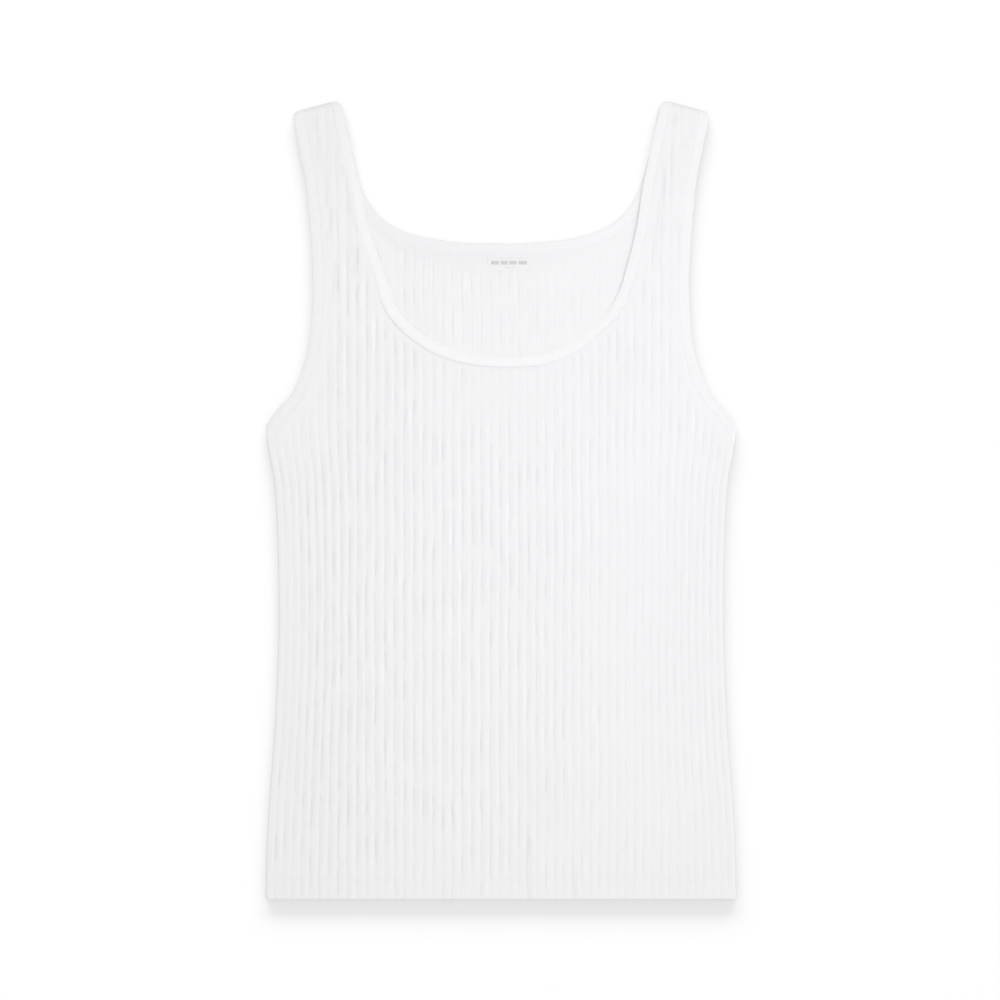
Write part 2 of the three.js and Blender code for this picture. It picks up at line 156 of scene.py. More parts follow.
# The front neck seam's groove: places from the left shoulder to the right one, and how deep it is there
NECK_GROOVE = (
    [0.0, 0.17, 0.26, 0.34, 0.52, 0.58, 0.64, 1.0],
    [0.02, 0.04, 0.3, 1.0, 1.0, 0.5, 0.05, 0.02],
)
# The shade at a strap's end is painted into the cloth's colour
SHADE_REACH = 3.2  # how far down a strap its shaded end reaches
FRONT_END_DROP = 1.25  # how far the front sinks at a strap's end
BACK_END_RISE = 0.95  # how far the back rises there
HEM_STITCH_DIP = 0.16  # how far the hem's stitches press the front in
FRONT_RIBS = 0.72  # depth of the front's full grooves
BACK_RIBS = 0.6
SECTION_POINTS = 24  # points round a binding
RING_STEP = 2.2  # distance between the sections of a binding
FOLD_STEPS = 9  # sections where a binding folds over
BAND_WALE = 1.1  # width of one wale of a binding's knit
WAVE_COUNT = 8
PANEL_SEED = 11


# Curves and lines


def smooth_table(table, at):
    """A smooth curve through a table of two columns, read at many places."""
    keys = np.array([row[0] for row in table], float)
    values = np.array([row[1] for row in table], float)
    before = np.maximum(np.arange(len(keys)) - 1, 0)
    after = np.minimum(np.arange(len(keys)) + 1, len(keys) - 1)
    slopes = (values[after] - values[before]) / (keys[after] - keys[before])
    at = np.asarray(at, float)
    i = np.clip(np.searchsorted(keys, at, side="right") - 1, 0, len(keys) - 2)
    span = keys[i + 1] - keys[i]
    t = (at - keys[i]) / span
    start = values[i] * (2 * t**3 - 3 * t**2 + 1) + span * slopes[i] * (t**3 - 2 * t**2 + t)
    return start + values[i + 1] * (3 * t**2 - 2 * t**3) + span * slopes[i + 1] * (t**3 - t**2)


def evenly(line, steps):
    """The same line in a number of equal steps."""
    run = along(line)
    at = np.linspace(0, run[-1], steps + 1)
    return np.stack([np.interp(at, run, line[:, k]) for k in range(line.shape[1])], 1)


def along(line):
    """How far along a line each of its points is."""
    return np.concatenate([[0], np.cumsum(np.linalg.norm(np.diff(line, axis=0), axis=1))])


def curve_points(table):
    """Points along the same smooth curve that the solids' edges follow."""
    points = np.array(table, float)
    points = np.vstack([2 * points[0] - points[1], points, 2 * points[-1] - points[-2]])
    gaps = np.sqrt(np.linalg.norm(np.diff(points, axis=0), axis=1))
    pieces = []
    for i in range(len(points) - 3):
        p0, p1, p2, p3 = points[i : i + 4]
        t0, t1, t2 = gaps[i : i + 3]
        start = ((p1 - p0) / t0 - (p2 - p0) / (t0 + t1) + (p2 - p1) / t1) * t1
        end = ((p2 - p1) / t1 - (p3 - p1) / (t1 + t2) + (p3 - p2) / t2) * t1
        t = np.linspace(0, 1, 40)[:, None]
        pieces.append(
            p1
            + start * t
            + (-3 * p1 + 3 * p2 - 2 * start - end) * t**2
            + (2 * p1 - 2 * p2 + start + end) * t**3
        )
    return evenly(np.vstack(pieces), EDGE_SAMPLES)


def headings(line):
    """The direction of a line at each of its points."""
    ends = np.arange(len(line))
    step = line[np.minimum(ends + 1, ends[-1])] - line[np.maximum(ends - 1, 0)]
    return step / np.linalg.norm(step, axis=1)[:, None]


def moved_right(line, distance):
    """A line moved sideways, to the right of its direction, where the cloth lies."""
    ahead = headings(line)
    return line + distance * np.stack([ahead[:, 1], -ahead[:, 0]], 1)


def nearest(points, line):
    """How far inside a line each point is, the line's point nearest to it, and how far along that one is."""
    starts, steps = line[:-1], np.diff(line, axis=0)
    lengths = (steps**2).sum(1)
    run = along(line)
    depth, foot, place = [], [], []
    for part in np.array_split(points, max(len(points) // 4000, 1)):
        offset = part[:, None] - starts[None]
        t = np.clip((offset * steps).sum(2) / lengths, 0, 1)
        gap = offset - t[..., None] * steps
        best = (gap**2).sum(2).argmin(1)
        rows = np.arange(len(part))
        gap = gap[rows, best]
        side = steps[best, 0] * gap[:, 1] - steps[best, 1] * gap[:, 0]
        depth.append(np.linalg.norm(gap, axis=1) * np.where(side > 0, -1, 1))
        foot.append(part - gap)
        place.append(run[best] + t[rows, best] * np.sqrt(lengths[best]))
    return np.concatenate(depth), np.vstack(foot), np.concatenate(place)


def soft_step(value, low, high):
    """0 up to low, 1 from high, and smooth between them."""
    t = np.clip((value - low) / (high - low), 0, 1)
    return t * t * (3 - 2 * t)


def waves(seed, x, y, reach_x, reach_y):
    """An even, smooth unevenness of about one unit, made of a few seeded waves."""
    draw = np.random.default_rng(seed)
    total = 0
    for _ in range(WAVE_COUNT):
        kx, ky = draw.normal(size=2)
        turns = kx * x / reach_x + ky * y / reach_y
        total = total + np.sin(2 * math.pi * turns + draw.uniform(0, 2 * math.pi))
    return total / math.sqrt(WAVE_COUNT / 2)


def rib_waves(seed, rib, height, reach):
    """An unevenness of about one unit that each rib has for itself, along its length."""
    draw = np.random.default_rng(seed)
    phases = draw.uniform(0, 2 * math.pi, (RIBS + 1, 3))
    stretch = draw.uniform(0.7, 1.4, (RIBS + 1, 3))
    total = 0
    for k, share in enumerate((1.0, 0.7, 0.5)):
        wave = 2 * math.pi * height / (reach * share) * stretch[rib, k]
        total = total + share * np.sin(wave + phases[rib, k])
    return total / 0.93


def between_ribs(seed, rib, u, height, reach):
    """The same unevenness, carried over evenly from one rib to the next."""
    return (1 - u) * rib_waves(seed, rib, height, reach) + u * rib_waves(seed, rib + 1, height, reach)


def cloth_half(height):
    """Half the width of the cloth at a height."""
    return smooth_table(CLOTH_WIDTHS, height)


def shoulder_height(x):
    """How high the sloping top of a strap lies."""
    return LENGTH - SHOULDER_SLOPE * (np.abs(x) - SHOULDER_PEAK)


def across_cloth(share, height):
    """Where a share of the width lies: the middle ribs run upright, and the outer ones follow the sides."""
    plain = np.abs(share) * MEAN_HALF
    outer = np.maximum(plain - UPRIGHT, 0) / (MEAN_HALF - UPRIGHT)
    return np.sign(share) * (np.minimum(plain, UPRIGHT) + outer * (cloth_half(height) - UPRIGHT))


def rib_place(share):
    """Where a rib lies across the cloth, from -1 to 1, for an equal share of the ribs."""
    fine = np.linspace(-1, 1, 401)
    pitch = smooth_table(RIB_PITCHES, fine)
    count = np.concatenate([[0], np.cumsum((1 / pitch[1:] + 1 / pitch[:-1]) / 2)])
    return np.interp(share, count / count[-1] * 2 - 1, fine)


SEAM_INSET = BINDING_WIDTH + SEAM_GAP
ARMHOLE = curve_points(ARMHOLE_EDGE)
ARMHOLE_SEAM = moved_right(ARMHOLE, SEAM_INSET)
FRONT_NECK = curve_points(FRONT_NECK_EDGE)
FRONT_NECK_SEAM = moved_right(FRONT_NECK, SEAM_INSET)
BACK_NECK = curve_points(BACK_NECK_EDGE)
BACK_NECK_SEAM = moved_right(BACK_NECK, SEAM_INSET)


# Objects


def place_in_metres(x, height, z):
    """Metres in the shared frame, from millimetres over the hem."""
    return np.stack([x, np.asarray(height) - LENGTH / 2, z], -1) * MM


def object_from(bm, name):
    """An object with smooth faces, made from a finished mesh."""
    mesh = bpy.data.meshes.new(name)
    bm.to_mesh(mesh)
    bm.free()
    obj = bpy.data.objects.new(name, mesh)
    bpy.context.scene.collection.objects.link(obj)
    mesh.polygons.foreach_set("use_smooth", [True] * len(mesh.polygons))
    return obj


def grid_of(across, rows):
    """A flat grid, and each vertex's column and row in it."""
    bm = bmesh.new()
    bmesh.ops.create_grid(bm, x_segments=across, y_segments=rows, size=0.5)
    flat = np.array([v.co[:2] for v in bm.verts])
    column = np.rint((flat[:, 0] + 0.5) * across).astype(int)
    row = np.rint((flat[:, 1] + 0.5) * rows).astype(int)
    return bm, column, row


def thicken(obj, thickness, group=""):
    """Gives a cloth its wall, on the inner side of the face that is modelled."""
    wall = obj.modifiers.new("wall", "SOLIDIFY")
    wall.thickness = thickness * MM
    wall.offset = -1
    wall.vertex_group = group
    wall.use_rim = True


def write_map(bm, u, v):
    """Writes the knit's map, in wales and courses, from the values at the vertices."""
    layer = bm.loops.layers.uv.new("knit")
    bm.verts.index_update()
    for face in bm.faces:
        for loop in face.loops:
            i = loop.vert.index
            loop[layer].uv = (u[i], v[i])


# The two panels


def hem_rows(z_outer, z_inner):
    """Rows from the edge of the turned hem, down inside, round the fold and up to the outer face."""
    middle = (z_outer + z_inner) / 2
    reach = (z_outer - z_inner) / 2
    rows = [(height, z_inner, 0.0, -1.0, 0.25) for height in (HEM_TURN, 12.0, 5.0, HEM_FOLD)]
    for degrees in (-66, -40, -14, 14, 40, 66):
        angle = math.radians(degrees)
        out = math.cos(angle) ** FOLD_SQUARENESS
        over = math.copysign(abs(math.sin(angle)) ** FOLD_SQUARENESS, angle)
        rows.append((HEM_FOLD * (1 - out), middle + reach * over, -math.cos(angle), math.sin(angle), 0.35))
    return rows


def spaced(start, end, steps):
    """Equal steps from one height to another, without the first."""
    return list(np.linspace(start, end, steps + 1)[1:])


def body_heights(low, high, neck_low, armhole):
    """Heights of a panel's rows between hem and shoulders, finer at the armholes and under the neck."""
    first, last, steps = armhole
    neck_start = neck_low - 10
    heights = spaced(low, first, round((first - low) / ROW_STEP))
    heights += spaced(first, last, steps)
    heights += spaced(last, neck_start, max(round((neck_start - last) / ROW_STEP), 1))
    heights += [neck_low + off for off in (-6.5, -4.2, -2.6, -1.4, -0.5, 0.4, 1.3, UNDER_BAND)]
    return heights + spaced(heights[-1], high, round((high - heights[-1]) / ROW_STEP))


def panel_rows(z_outer, z_inner, neck_low, is_front):
    """Rows of a panel: height, z of the crests, where the face looks (height, z), share of the relief."""
    first, second = HEM_STITCHES
    stitch_dip = HEM_STITCH_DIP if is_front else 0.0
    rows = hem_rows(z_outer, z_inner)
    for height, dip, relief in (
        (HEM_FOLD, 0.0, 0.45), (2.6, 0.0, 0.5), (5.5, 0.0, 0.6), (9.0, 0.0, 0.65),
        (first - 1.6, 0.1, 0.62), (first, 1.0, 0.55), ((first + second) / 2, 0.35, 0.6),
        (second, 1.0, 0.55), (second + 1.7, 0.2, 0.7), (second + 5.0, 0.0, 0.85),
    ):
        rows.append((height, z_outer - stitch_dip * dip, 0.0, 1.0, relief))
    armhole = FRONT_ARMHOLE_ROWS if is_front else BACK_ARMHOLE_ROWS
    for height in body_heights(second + 5.0, LENGTH - 15, neck_low, armhole):
        rows.append((height, z_outer, 0.0, 1.0, 1.0))
    for left, relief in ((10.5, 0.95), (7.0, 0.9), (4.5, 0.85), (2.6, 0.8), (1.2, 0.7), (0.3, 0.6)):
        rows.append((LENGTH - left, z_outer, 0.0, 1.0, relief))
    return np.array(rows)


def fading(distance, reach):
    """1 at no distance, and fading evenly with it."""
    return np.exp(-((distance / reach) ** 2))


def relief_left(x, height):
    """The share of the ribs' relief that is left by the places where they lie flatter."""
    left = np.ones_like(x)
    for cx, ch, rx, rh, lost in FLAT_SPOTS:
        left *= 1 - lost * fading(x - cx, rx) * fading(height - ch, rh)
    return left


def creases(x, height, table):
    """The rise of soft creases, each fading at both ends and across."""
    rise = np.zeros_like(x)
    for n, (x0, h0, x1, h1, half, peak) in enumerate(table):
        ax, ah = x1 - x0, h1 - h0
        length = math.hypot(ax, ah)
        run = ((x - x0) * ax + (height - h0) * ah) / length**2
        off = ((x - x0) * ah - (height - h0) * ax) / length
        bend = half * 0.8 * np.sin(math.pi * (run * 1.3 + 0.37 * n))
        beyond_end = np.maximum(np.abs(run - 0.5) - 0.32, 0)
        rise += peak * fading(beyond_end, 0.16) * fading(off - bend, half)
    return rise


def drawn_to_neck(x, height, neck_seam, neck_low):
    """The height of a row where the rows bend along the neck seam, so that one of them lies on it."""
    low = neck_seam[(neck_seam[:, 1] < neck_low + 75) & (np.abs(neck_seam[:, 0]) < 110)]
    rise = np.interp(x, low[:, 0], low[:, 1]) - neck_low
    rise = MOST_BEND * np.tanh(rise / MOST_BEND)
    reach = min(150, LENGTH - 20 - neck_low)
    return height + rise * (1 - soft_step(np.abs(height - neck_low), 2.5, reach))


def shoulder_tilt(height):
    """The share of the shoulder's slope that a row follows."""
    return np.interp(height, [550, 580, 602], [0, 0.5, 1])


def laid_out(share, rib, u, height, neck_seam, seed):
    """Where the places of a panel's grid lie, and their heights before the slope of the shoulder."""
    neck_low = float(neck_seam[:, 1].min())
    sway = between_ribs(seed + 7, rib, u, height, 48)
    wobble = 0.3 * waves(seed, share * MEAN_HALF, height, 260, 140) + 0.13 * sway
    upright = across_cloth(share, height)
    bent = np.where(height > 30, drawn_to_neck(upright, height, neck_seam, neck_low), height)
    x = across_cloth(share, bent) + wobble * (1 - share**4)
    slope = shoulder_tilt(height) * SHOULDER_SLOPE * (np.abs(x) - SHOULDER_PEAK)
    return np.stack([x, bent - slope], 1), bent


def on_right_half(points, mirrored):
    """The points, turned over to the right half where a line is given for that half only."""
    if not mirrored:
        return points
    return np.stack([np.abs(points[:, 0]), points[:, 1]], 1)


def cut_away(bm, plan, lines):
    """Deletes the faces beyond the cutting lines."""
    centres = np.array([plan[[v.index for v in f.verts]].mean(0) for f in bm.faces])
    gone = np.zeros(len(centres), bool)
    for line, mirrored in lines:
        gone |= nearest(on_right_half(centres, mirrored), line)[0] < 0
    bm.faces.ensure_lookup_table()
    bmesh.ops.delete(bm, geom=[bm.faces[i] for i in np.flatnonzero(gone)], context="FACES")
    bm.verts.ensure_lookup_table()


def draw_edge(plan, cut_edge, lines):
    """Moves the places of a cut edge onto the cutting lines beside them."""
    for line, mirrored in lines:
        depth, foot, _ = nearest(on_right_half(plan, mirrored), line)
        near = cut_edge & (np.abs(depth) < 5)
        if mirrored:
            foot[:, 0] *= np.sign(plan[:, 0])
        plan[near] = foot[near]


def rib_profile(at, seed):
    """Each rib's rounded form, 0 in its grooves and 1 on its crest, and how it swells along its length."""
    lean = 1.15 + 0.22 * rib_waves(seed + 2, at.rib, at.h, 170)
    swell = 1 + 0.1 * rib_waves(seed + 3, at.rib, at.h, 120)
    w = at.u ** np.clip(lean, 0.85, 1.6)
    broad = 1 - np.abs(2 * w - 1) ** 3
    round_crest = 0.5 - 0.5 * np.cos(2 * math.pi * w)
    return 0.5 * broad + 0.5 * round_crest, swell


def rib_relief(at, is_front, seed):
    """The share of their full relief that the ribs have: it comes and goes along their length."""
    slow = between_ribs(seed + 6, at.rib, at.u, at.h, 52)
    quick = between_ribs(seed + 8, at.rib, at.u, at.h, 19)
    depth = at.relief * np.clip(1 + 0.36 * slow + 0.22 * quick, 0.25, 1.6)
    if is_front:
        depth *= np.where(at.outer, relief_left(at.x, at.h), 1.0)
        depth *= np.interp(at.x, [-150, -40, 60, 130], [1.15, 1.05, 0.85, 0.74])
        depth *= soft_step(at.neck_depth, 0.0, 8.0) * 0.9 + 0.1
        depth *= soft_step(at.arm_depth, 0.0, 13.0) * 0.93 + 0.07
        return depth * soft_step(at.side, 0.5, 5.0)
    depth *= np.interp(at.x, [-110, 0, 60, 110], [1.2, 0.85, 0.45, 0.35])
    plain = np.interp(np.abs(at.x - 5), [30, 70], [27, 12])
    depth *= soft_step(at.seam, plain * 0.2, plain) * 0.9 + 0.1
    beside_band = nearest(np.stack([at.x, at.h], 1), FRONT_NECK)[0] + 2.5
    depth *= 1 - 0.85 * fading(beside_band, 4.5)
    return depth * soft_step(at.side, 0.5, 6.0)


def soft_lift(at, is_front, crease_table, seed):
    """Creases and a gentle unevenness, which leave the fold of the hem alone."""
    calm = soft_step(at.height, 3, 26) * at.outer * soft_step(at.side, 0, 20) * soft_step(at.seam, 0, 10)
    if is_front:
        broad = 0.22 * waves(seed + 4, at.x, at.h, 150, 170)
        small = 0.1 * waves(seed + 5, at.x, at.h, 50, 60)
        uneven = broad + small
    else:
        uneven = 0.12 * (1 + np.clip(waves(seed + 4, at.x, at.h, 120, 140), -1, 1))
    return creases(at.x, at.h, crease_table) * at.outer + calm * uneven


def seam_groove(at, is_front, neck_length):
    """How deep the nearer seam's groove is: uneven along an armhole, and as listed along the neck."""
    arm = 0.1 * (1 + 0.5 * np.sin(at.arm_run / 9 + 3 * np.sin(at.arm_run / 31)))
    neck = 0.05
    if is_front:
        places, depths = NECK_GROOVE
        neck = np.interp(at.neck_run / neck_length, places, depths)
    return np.where(at.neck_depth < at.arm_depth, neck, arm)


def end_shade(top):
    """How much shade is painted on a strap's rounded end, by the distance below its top."""
    return fading(np.maximum(top - 0.5, 0), SHADE_REACH)


def shade_of(at, is_front, crease_table):
    """How much shade is painted into the cloth's colour: at a strap's rounded end, in narrow folds, on the
    plain part of the back near the neck, and a slight even darkening of the whole front.
    """
    shaded = end_shade(at.top)
    if not is_front:
        # Painted shade on the back near its neck seam, greyer at the left
        zone = np.interp(np.abs(at.x - 2), [0, 75, 100], [24, 13, 2])
        grey = np.interp(at.x, [-105, -100, -20, 60, 105], [0, 0.5, 0.42, 0.2, 0.1])
        shaded = np.maximum(shaded, grey * soft_step(zone - at.neck_depth, 0, zone * 0.8))
    # Painted shade in the troughs of the narrow creases
    narrow = [crease for crease in crease_table if crease[4] < NARROW]
    folds = np.maximum(-creases(at.x, at.h, narrow), 0) * 1.3 * at.outer
    return np.maximum(shaded, (0.15 if is_front else 0.0) + folds)


def panel(name, is_front, neck_seam, crease_table, rise, seed):
    """One panel, ribbed on both faces, cut under the bindings and turned up at its hem."""
    z_crest, z_inner = (FRONT_CREST + 0.3, FRONT_FLOOR + 0.2) if is_front else (0.0, FRONT_FLOOR - 0.1)
    up = 1.0 if is_front else -1.0
    rows = panel_rows(z_crest, z_inner, float(neck_seam[:, 1].min()), is_front)
    across = RIBS * COLUMNS_PER_RIB
    bm, column, row = grid_of(across, len(rows) - 1)
    height, z, look_h, look_z, relief = rows[row].T
    share = rib_place(2 * column / across - 1)
    rib = np.minimum(column // COLUMNS_PER_RIB, RIBS - 1)
    u = (column % COLUMNS_PER_RIB) / COLUMNS_PER_RIB
    plan, bent = laid_out(share, rib, u, height, neck_seam, seed)
    write_map(bm, column / COLUMNS_PER_RIB * WALES_PER_RIB, (bent + HEM_TURN * (look_z < 0)) / COURSE)
    layer = bm.verts.layers.float.new("rib_depth")
    shade = bm.verts.layers.float.new("painted_shade")
    wall = bm.verts.layers.deform.new()
    stored = bm.verts.layers.int.new("grid_place")
    for i, v in enumerate(bm.verts):
        v[stored] = i

    # The cut edge is drawn onto lines a little under the bindings
    cuts = [(moved_right(neck_seam, -UNDER_BAND), False), (moved_right(ARMHOLE_SEAM, -UNDER_BAND), True)]
    cut_away(bm, plan, cuts)
    kept = np.array([v[stored] for v in bm.verts])
    cut_edge = np.array([v.is_boundary for v in bm.verts])
    cut_edge &= (row[kept] > 0) & (row[kept] < len(rows) - 1) & (column[kept] > 0) & (column[kept] < across)
    plan = plan[kept]
    draw_edge(plan, cut_edge, cuts)

    at = SimpleNamespace(rib=rib[kept], u=u[kept], height=height[kept], relief=relief[kept])
    at.x, at.h = plan.T
    at.outer = look_z[kept] > 0
    at.top = LENGTH - at.height
    at.neck_depth, _, at.neck_run = nearest(plan, neck_seam)
    at.arm_depth, _, at.arm_run = nearest(on_right_half(plan, True), ARMHOLE_SEAM)
    at.seam = np.minimum(at.neck_depth, at.arm_depth)
    at.side = cloth_half(at.h) - np.abs(across_cloth(share[kept], at.h))

    dome, swell = rib_profile(at, seed)
    depth = rib_relief(at, is_front, seed)
    drop = rise * depth * (1 - np.clip(dome * swell, 0, 1.2))
    lift = soft_lift(at, is_front, crease_table, seed)

    # At a seam the cloth dips into the stitching and gathers a little. Where no groove shows, it lies level
    groove = seam_groove(at, is_front, along(neck_seam)[-1])
    hidden = np.clip(1 - groove / 0.6, 0, 1)
    under = soft_step(-at.seam, 0.2 + 0.6 * hidden, 1.7 + 1.0 * hidden)
    dip = fading(np.maximum(at.seam, 0), 1.9) * groove * at.outer
    gather = fading(np.maximum(at.seam, 0), 6) * np.sin(at.neck_run / 1.5 + 2 * np.sin(at.neck_run / 9))
    lift += 0.06 * gather * (at.neck_depth < at.arm_depth) + 0.1 * hidden * fading(at.seam, 4) * at.outer
    roll = np.clip(1 - np.maximum(at.side, 0) / SIDES_SOFT, 0, 1) ** 2
    shoulder = np.clip(1 - at.top / 3.6, 0, 1) ** 2

    z = z[kept]
    if is_front:
        z = z - 0.3 * soft_step(at.height, 16, 30) + lift - SEAM_DIP * dip
        z -= ((SEAM_DROP - 0.4 * hidden) * under + SIDE_ROLL * roll) * at.outer
        z -= FRONT_END_DROP * shoulder + 0.3 * fading(at.top - 6.0, 2.6)
    else:
        lifted = np.maximum(lift, 0) * soft_step(at.height, 3, 26)
        z = np.where(at.outer & (z <= 0.5), 0, z)
        z += (lifted + 0.5 * under + 0.25 * roll + BACK_END_RISE * shoulder) * at.outer
    held_drop = drop * (1 - 0.5 * np.clip(dip, 0, 1)) * (1 - 0.6 * roll)
    z = np.maximum(z - look_z[kept] * up * held_drop, 0)
    world = place_in_metres(at.x, at.h - look_h[kept] * drop * 0.5, z)

    # The wall is thickest under a rib's crest, and thin where the hem folds and at the edges
    held = np.clip(depth, 0, 1.2)
    walls = THIN_WALL + (FULL_WALL - THIN_WALL) * (dome * held + 1 - held)
    walls = np.where(at.height < HEM_TURN + 1, np.minimum(walls, 0.5), walls)
    walls *= (1 - 0.5 * under) * (1 - 0.45 * roll) * (1 - 0.3 * shoulder)
    if is_front:
        walls *= 1 - 0.3 * np.clip(dip, 0, 1)
    # Painted shade, kept at the vertices for the material
    shaded = shade_of(at, is_front, crease_table)
    for i, v in enumerate(bm.verts):
        v.co = world[i]
        v[layer] = depth[i]
        v[shade] = shaded[i]
        v[wall][0] = walls[i]
    bmesh.ops.remove_doubles(bm, verts=bm.verts, dist=0.02 * MM)
    if not is_front:
        bmesh.ops.reverse_faces(bm, faces=bm.faces)
    obj = object_from(bm, name)
    obj.vertex_groups.new(name="wall")
    thicken(obj, WALL, "wall")
    return obj


# The bindings


def trimmed(line, inside, margin=0.0):
    """The stretch of a line inside a limit, cut where a signed distance to the limit falls to zero."""
    limit = inside(line) - margin
    kept = []
    for i, (p, here) in enumerate(zip(line, limit)):
        if here >= 0:
            kept.append(p)
        if i + 1 < len(line) and (here >= 0) != (limit[i + 1] >= 0):
            kept.append(p + (line[i + 1] - p) * here / (here - limit[i + 1]))
    return np.array(kept)


def under_shoulder(points):
    """How far below a strap's folded end each point lies."""
    return shoulder_height(points[:, 0]) - FOLD_REACH - points[:, 1]


def inside_side(points):
    """How far inside the folded side each point lies."""
    return cloth_half(points[:, 1]) - FOLD_REACH - np.abs(points[:, 0])


def inside_folds(points):
    """How far inside the nearer of the two folds each point lies."""
    return np.minimum(under_shoulder(points), inside_side(points))


def corner_inset(radius, distance):
    """How far a rounded corner draws an edge in, at a distance from its end."""
    left = np.maximum(radius - np.maximum(distance, 0), 0)
    return radius - np.sqrt(radius**2 - left**2)


def stations(edge, seam, z, out, radius):
    """Places along a binding: its finished edge, its seam, and the way its outer face looks."""
    inset = corner_inset(radius, shoulder_height(edge[:, 0]) - edge[:, 1])
    inward = seam - edge
    inward /= np.linalg.norm(inward, axis=1)[:, None]
    drawn = edge + inward * inset[:, None]
    return np.hstack([drawn, z[:, None]]), np.hstack([seam, z[:, None]]), out


def layer_stations(edge, seam, is_front, radius):
    """Places along a binding where it lies flat on the front or on the back."""
    steps = max(round(along(edge)[-1] / RING_STEP), 4)
    z = np.full(steps + 1, FRONT_FLOOR + WALL / 2 if is_front else WALL / 2)
    out = np.tile([0, 0, 1.0 if is_front else -1.0], (steps + 1, 1))
    return stations(evenly(edge, steps), evenly(seam, steps), z, out, radius)


def fold_stations(edge, seam, away, from_front, radius):
    """Places along a binding where it folds over from one face to the other."""
    turned = math.pi * np.arange(1, FOLD_STEPS) / FOLD_STEPS
    angle = turned if from_front else math.pi - turned
    reach = np.outer(FOLD_RADIUS * np.sin(angle), away)
    z = FOLD_MIDDLE + FOLD_RADIUS * np.cos(angle)
    out = np.stack([away[0] * np.sin(angle), away[1] * np.sin(angle), np.cos(angle)], 1)
    return stations(edge + reach, seam + reach, z, out, radius)


def over_shoulder(side):
    """The direction straight out of a strap's end: 1 for the right one, -1 for the left one."""
    away = np.array([side * SHOULDER_SLOPE, 1.0])
    return away / np.linalg.norm(away)


def binding(name, parts, lifts, tucks, painted_shades, seed):
    """A closed ring of folded binding.

    Its finished edge is moved up or down by a lift in millimetres, and thins out where it is tucked. Shade
    is painted into its colour as listed for it, and at the straps' ends.
    """
    edge, seam, out = (np.vstack([part[k] for part in parts]) for k in range(3))
    count = len(edge)
    bm, column, row = grid_of(SECTION_POINTS, count)
    station = row % count
    angle = 2 * math.pi * (column % SECTION_POINTS) / SECTION_POINTS
    c, s = np.cos(angle), np.sin(angle)
    share = 0.5 - 0.5 * np.sign(c) * np.abs(c) ** 0.55
    rise = np.sign(s) * np.abs(s) ** 0.6
    run = along(edge)[station]
    width = edge[station] - seam[station]
    length = np.linalg.norm(width, axis=1)[:, None]
    width = width * (1 - SEAM_GAP / length)
    pos = edge[station] + width * (share[:, None] - 1)
    pos += width * (0.018 * waves(seed, run, run, 40, 40) * share)[:, None]
    swell = 1 + 0.04 * waves(seed + 1, run, run, 22, 22) + 0.03 * np.sin(run / 1.5 + 2 * np.sin(run / 9))
    stitch_dip = 0.06 * fading(share - 0.23, 0.07)
    full = np.interp(share, [0, 0.12, 0.35, 0.7, 1.0], [0.86, 0.98, 1.0, 0.8, 0.62])
    full = full * (1 - 0.8 * tucks[station] * share**2)
    pos += out[station] * (rise * WALL / 2 * (full - stitch_dip) * np.where(rise > 0, swell, 1))[:, None]
    pos[:, 2] += lifts[station] * share**1.4 - 0.42 * tucks[station] * share**2
    pos[:, 2] = np.maximum(pos[:, 2], 0)
    whole = along(np.vstack([edge, edge[:1]]))
    around = column / SECTION_POINTS * 2 * (BINDING_WIDTH + WALL)
    write_map(bm, np.append(whole, 0)[row] / BAND_WALE, around / COURSE)
    # Painted shade: at the straps' ends, and as listed along the ring
    shade = bm.verts.layers.float.new("painted_shade")
    shaded = np.maximum(end_shade(shoulder_height(pos[:, 0]) - pos[:, 1]), painted_shades[station])
    world = place_in_metres(*pos.T)
    for i, v in enumerate(bm.verts):
        v.co = world[i]
        v[shade] = shaded[i]
    bmesh.ops.remove_doubles(bm, verts=bm.verts, dist=0.001 * MM)
    bmesh.ops.recalc_face_normals(bm, faces=bm.faces)
    return object_from(bm, name), whole[-1]


# How the neck band's finished edge lies: place along the stretch, lift, share tucked in, and the shade
# painted on the band.
# The stretches are the front, the right shoulder, the back and the left shoulder. The edge lies down
# on the back cloth at the left and the bottom, and stands off it a little at the right.
NECK_FALLS = [
    (
        [0.0, 0.05, 0.12, 0.62, 0.68, 0.74, 0.86, 0.92, 1.0],
        [0.0, -0.4, -0.95, -0.98, -0.9, -0.35, -0.2, 0.0, 0.0],
        [0.0, 0.4, 1.0, 1.0, 0.9, 0.1, 0.0, 0.0, 0.0],
        [0.6, 0.5, 0.35, 0.0, 0.1, 0.25, 0.3, 0.3, 0.4],
    ),
    ([0, 1], [0, 0], [0, 0], [0.4, 0.4]),
    (
        [0.0, 0.2, 0.35, 0.65, 0.8, 1.0],
        [0.0, 0.3, 0.7, 0.7, 0.3, 0.0],
        [0.0] * 6,
        [0.3, 0.3, 0.55, 0.65, 0.6, 0.5],
    ),
    ([0, 1], [0, 0], [0, 0], [0.5, 0.5]),
]


def neck_binding():
    """The ring round the neck, and its length."""
    front = [trimmed(line, under_shoulder) for line in (FRONT_NECK, FRONT_NECK_SEAM)]
    back = [trimmed(line, under_shoulder)[::-1] for line in (BACK_NECK, BACK_NECK_SEAM)]
    parts = [
        layer_stations(*front, True, NECK_CORNER),
        fold_stations(front[0][-1], front[1][-1], over_shoulder(1), True, NECK_CORNER),
        layer_stations(*back, False, NECK_CORNER),
        fold_stations(back[0][-1], back[1][-1], over_shoulder(-1), False, NECK_CORNER),
    ]
    falls = []
    for part, (at, *columns) in zip(parts, NECK_FALLS):
        share = np.linspace(0, 1, len(part[0]))
        falls.append(np.stack([np.interp(share, at, column) for column in columns]))
    return binding("neck_band", parts, *np.hstack(falls), 31)


